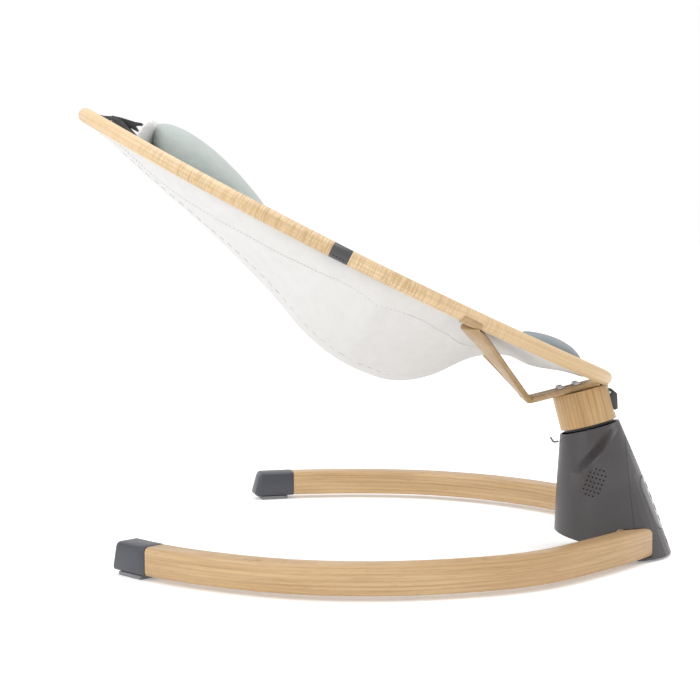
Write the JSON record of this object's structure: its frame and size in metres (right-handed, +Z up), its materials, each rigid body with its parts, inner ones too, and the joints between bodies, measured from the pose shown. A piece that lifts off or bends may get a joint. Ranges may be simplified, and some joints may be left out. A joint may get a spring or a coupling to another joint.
{
  "type": "bouncer seat",
  "caption": "Reclined infant bouncer seat: a fabric sling on an oval tube ring that swings on a tilted neck over a powered tower and a horseshoe floor base.",
  "frame": {"origin": "on the floor, under the middle of the whole part's box", "axes": "+Z up; +X along the horseshoe base towards the tower and the seat's foot end; +Y towards the occupant's left, so the near side in the usual view is -Y"},
  "size_m": [0.7594, 0.716, 0.5703],
  "materials": {
    "oak": "clear lacquered oak with fine grain",
    "oak_print": "satin wood-grain print on metal",
    "dark_plastic": "satin dark grey",
    "black_plastic": "satin black",
    "gloss_panel": "glossy smoke grey",
    "rubber": "matt grey",
    "steel": "zinc plated",
    "bronze": "sintered bearing metal",
    "board": "green circuit board",
    "white_fabric": "white woven fabric",
    "sage_fabric": "pale grey-green jersey",
    "blue_fabric": "pale blue-grey jersey"
  },
  "bodies": {
    "base": {"base_leg_right": "oak", "leg_cap_right": "dark_plastic", "leg_pad_right": "rubber", "base_leg_left": "oak", "leg_cap_left": "dark_plastic", "leg_pad_left": "rubber", "leg_bolt_right": "steel", "leg_bolt_left": "steel", "floor_plate": "dark_plastic", "tower_foot_front": "rubber", "tower_foot_right": "rubber", "tower_foot_left": "rubber", "tower_front_shell": "dark_plastic", "tower_rear_shell": "dark_plastic", "power_inlet": "black_plastic", "control_panel": "gloss_panel", "control_board": "board", "tower_frame": "black_plastic", "upper_bush": "bronze", "lower_bush": "bronze", "gearbox": "black_plastic", "motor": "steel", "speaker": "black_plastic", "lock_hook": "steel"},
    "seat": {"neck_post": "oak", "turn_ring": "black_plastic", "swivel_shaft": "steel", "swing_lever": "steel", "ring_head_half": "oak_print", "ring_foot_half": "oak_print", "joint_sleeve_left": "dark_plastic", "joint_sleeve_right": "dark_plastic", "strut_right": "oak_print", "strut_left": "oak_print", "ring_saddle_right": "oak_print", "ring_saddle_left": "oak_print", "arm_bolt_right_1": "steel", "arm_bolt_right_2": "steel", "arm_bolt_left_1": "steel", "arm_bolt_left_2": "steel", "lever_bracket": "black_plastic", "lever_pin": "steel", "head_bracket": "dark_plastic", "clip_pin": "steel", "sling": "white_fabric", "seat_pad": "white_fabric", "headrest_cushion": "sage_fabric", "foot_cushion": "blue_fabric", "harness_buckle": "dark_plastic", "buckle_button": "sage_fabric", "waist_strap_right": "sage_fabric", "waist_strap_left": "sage_fabric", "crotch_strap": "sage_fabric"},
    "crank": {"crank": "steel"},
    "power_button": {"power_button": "black_plastic"},
    "slower_button": {"slower_button": "black_plastic"},
    "faster_button": {"faster_button": "black_plastic"},
    "music_button": {"music_button": "black_plastic"},
    "release_lever": {"release_lever": "dark_plastic"},
    "head_clip": {"head_clip": "black_plastic"}
  },
  "joints": [
    {"name": "seat_swing", "type": "hinge", "parent": "base", "child": "seat", "pos_m": [0.2727, 0, 0.1658], "axis": [-0.2588, 0, 0.9659], "range_deg": [-27, 3]},
    {"name": "crank_spin", "type": "hinge", "parent": "base", "child": "crank", "pos_m": [0.24952, 0, 0.15959], "axis": [-0.2588, 0, 0.9659], "range_deg": [-163, 19]},
    {"name": "power_button_press", "type": "slide", "parent": "base", "child": "power_button", "axis": [-0.9214, 0, -0.3887], "range_m": [0, 0.001], "stiffness_N_per_m": 400},
    {"name": "slower_button_press", "type": "slide", "parent": "base", "child": "slower_button", "axis": [-0.9214, 0, -0.3887], "range_m": [0, 0.001], "stiffness_N_per_m": 400},
    {"name": "faster_button_press", "type": "slide", "parent": "base", "child": "faster_button", "axis": [-0.9214, 0, -0.3887], "range_m": [0, 0.001], "stiffness_N_per_m": 400},
    {"name": "music_button_press", "type": "slide", "parent": "base", "child": "music_button", "axis": [-0.9214, 0, -0.3887], "range_m": [0, 0.001], "stiffness_N_per_m": 400},
    {"name": "lever_pull", "type": "hinge", "parent": "seat", "child": "release_lever", "pos_m": [0.2977, 0.00738, 0.20666], "axis": [0.2008, -0.9781, 0.0538], "range_deg": [0, 20], "stiffness_Nm_per_rad": 0.3},
    {"name": "clip_open", "type": "hinge", "parent": "seat", "child": "head_clip", "pos_m": [-0.33547, -0.10347, 0.55474], "axis": [0.2008, -0.9781, 0.0538], "range_deg": [0, 28], "stiffness_Nm_per_rad": 0.2}
  ],
  "couplings": [
    {"joint": "crank_spin", "follows": "seat_swing", "ratio": 6}
  ]
}
